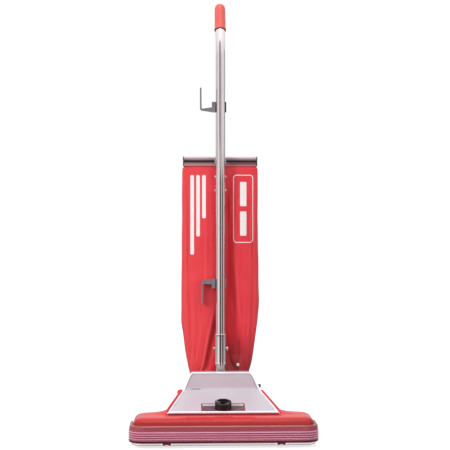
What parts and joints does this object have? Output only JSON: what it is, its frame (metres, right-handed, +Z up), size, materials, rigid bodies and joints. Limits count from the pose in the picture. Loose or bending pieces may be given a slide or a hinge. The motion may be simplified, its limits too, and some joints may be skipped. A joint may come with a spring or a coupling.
{
  "type": "upright vacuum cleaner",
  "caption": "Commercial upright vacuum cleaner with a wide floor nozzle, cloth dust bag and bent tube handle that leans back.",
  "frame": {"origin": "on the floor, on the machine's centre line, below the handle's pivot axis", "axes": "+Z up along the upright handle; -Y towards the front of the nozzle; +X across the nozzle to the viewer's right as seen from the front"},
  "size_m": [0.457, 0.3968, 1.118],
  "materials": {
    "red_shell": "glossy moulded red",
    "hood_grey": "satin light grey moulding",
    "guard_vinyl": "clear pink ribbed vinyl",
    "chrome": "polished chrome plate",
    "zinc_steel": "zinc plated sheet steel",
    "black_plastic": "moulded black",
    "dark_plate": "dark printed plate",
    "grip_vinyl": "smooth red vinyl",
    "bag_cloth": "coated woven red cloth",
    "filter_paper": "kraft filter paper",
    "hook_grey": "grey powder coated strap",
    "clamp_steel": "rolled steel with dark groove",
    "bristle": "stiff black nylon bristle",
    "brush_steel": "turned aluminium",
    "copper": "enamelled copper",
    "lamination": "stacked steel laminations",
    "belt_rubber": "moulded rubber",
    "wheel_rubber": "grey black tyre rubber",
    "motor_alloy": "die cast alloy",
    "fan_plastic": "natural nylon",
    "cord_vinyl": "red cord jacket"
  },
  "bodies": {
    "base": {"nozzle_housing": "red_shell", "motor_hood": "hood_grey", "height_dial_plate": "dark_plate", "furniture_guard": "guard_vinyl", "bottom_plate": "zinc_steel", "brush_end_bearings": "black_plastic", "fan_chamber": "motor_alloy", "field_core": "lamination", "field_windings": "copper", "motor_end_bells": "motor_alloy", "armature_bearings": "zinc_steel", "carbon_brushes": "black_plastic", "drive_belt": "belt_rubber", "rear_bracket": "zinc_steel", "rear_axle": "zinc_steel", "pivot_pins": "zinc_steel", "carriage_pivot_rod": "zinc_steel", "exhaust_duct": "black_plastic", "bag_collar": "belt_rubber", "power_switch": "black_plastic", "pedal_spring": "zinc_steel", "cord_strain_relief": "black_plastic", "power_cord": "cord_vinyl", "power_plug": "black_plastic", "base_screws": "zinc_steel"},
    "handle": {"handle_bail": "chrome", "socket_sleeve": "chrome", "lower_tube": "chrome", "upper_tube": "chrome", "tube_coupling": "zinc_steel", "handle_bolts": "zinc_steel", "hand_grip": "grip_vinyl", "cord_hook_clips": "hook_grey", "lower_cord_hook": "hook_grey", "bag_clamp": "clamp_steel", "clamp_end_caps": "black_plastic", "bag_hanger": "zinc_steel", "cloth_bag": "bag_cloth", "paper_filter_bag": "filter_paper"},
    "upper_hook": {"upper_cord_hook": "hook_grey"},
    "brush_roll": {"brush_roll_core": "brush_steel", "brush_bristles": "bristle", "brush_roll_shaft": "zinc_steel"},
    "armature": {"armature_shaft": "zinc_steel", "armature_core": "lamination", "commutator": "copper", "suction_fan": "fan_plastic", "belt_pulley": "zinc_steel"},
    "rear_wheel_l": {"rear_wheel_left": "wheel_rubber"},
    "rear_wheel_r": {"rear_wheel_right": "wheel_rubber"},
    "carriage": {"height_carriage": "zinc_steel", "front_axle": "zinc_steel"},
    "front_wheel_l": {"front_wheel_left": "wheel_rubber"},
    "front_wheel_r": {"front_wheel_right": "wheel_rubber"},
    "dial": {"height_dial": "black_plastic"},
    "switch": {"switch_button": "black_plastic"},
    "pedal": {"release_pedal": "black_plastic"},
    "plate_latch_l": {"latch_left": "zinc_steel"},
    "plate_latch_r": {"latch_right": "zinc_steel"}
  },
  "joints": [
    {"name": "handle_lean", "type": "hinge", "parent": "base", "child": "handle", "pos_m": [0, 0.012, 0.072], "axis": [-1, 0, 0], "range_deg": [0, 75]},
    {"name": "upper_hook_swivel", "type": "hinge", "parent": "handle", "child": "upper_hook", "pos_m": [-0.022, 0.012, 0.833], "axis": [1, 0, 0], "range_deg": [0, 180]},
    {"name": "armature_spin", "type": "hinge", "parent": "base", "child": "armature", "pos_m": [0, -0.058, 0.06], "axis": [0, 0, 1], "continuous": true},
    {"name": "brush_spin", "type": "hinge", "parent": "base", "child": "brush_roll", "pos_m": [0, -0.238, 0.03], "axis": [1, 0, 0], "continuous": true},
    {"name": "rear_wheel_left_roll", "type": "hinge", "parent": "base", "child": "rear_wheel_l", "pos_m": [-0.111, 0.012, 0.036], "axis": [1, 0, 0], "continuous": true},
    {"name": "rear_wheel_right_roll", "type": "hinge", "parent": "base", "child": "rear_wheel_r", "pos_m": [0.111, 0.012, 0.036], "axis": [1, 0, 0], "continuous": true},
    {"name": "dial_turn", "type": "hinge", "parent": "base", "child": "dial", "pos_m": [0, -0.203, 0.08294], "axis": [0, -0.2515, 0.9679], "range_deg": [0, 300]},
    {"name": "carriage_tilt", "type": "hinge", "parent": "base", "child": "carriage", "pos_m": [0, -0.122, 0.044], "axis": [1, 0, 0], "range_deg": [0, 5.2]},
    {"name": "front_wheel_left_roll", "type": "hinge", "parent": "carriage", "child": "front_wheel_l", "pos_m": [-0.098, -0.166, 0.016], "axis": [1, 0, 0], "continuous": true},
    {"name": "front_wheel_right_roll", "type": "hinge", "parent": "carriage", "child": "front_wheel_r", "pos_m": [0.098, -0.166, 0.016], "axis": [1, 0, 0], "continuous": true},
    {"name": "switch_press", "type": "slide", "parent": "base", "child": "switch", "axis": [-1, 0, 0], "range_m": [0, 0.003], "stiffness_N_per_m": 300},
    {"name": "pedal_press", "type": "hinge", "parent": "base", "child": "pedal", "pos_m": [0.064, 0.018, 0.048], "axis": [-1, 0, 0], "range_deg": [0, 14], "stiffness_Nm_per_rad": 0.8},
    {"name": "latch_left_turn", "type": "hinge", "parent": "base", "child": "plate_latch_l", "pos_m": [-0.172, -0.189, 0.0075], "axis": [0, 0, 1], "range_deg": [0, 90]},
    {"name": "latch_right_turn", "type": "hinge", "parent": "base", "child": "plate_latch_r", "pos_m": [0.172, -0.189, 0.0075], "axis": [0, 0, -1], "range_deg": [0, 90]}
  ],
  "couplings": [
    {"joint": "brush_spin", "follows": "armature_spin", "ratio": 0.504},
    {"joint": "carriage_tilt", "follows": "dial_turn", "ratio": 0.016667}
  ]
}
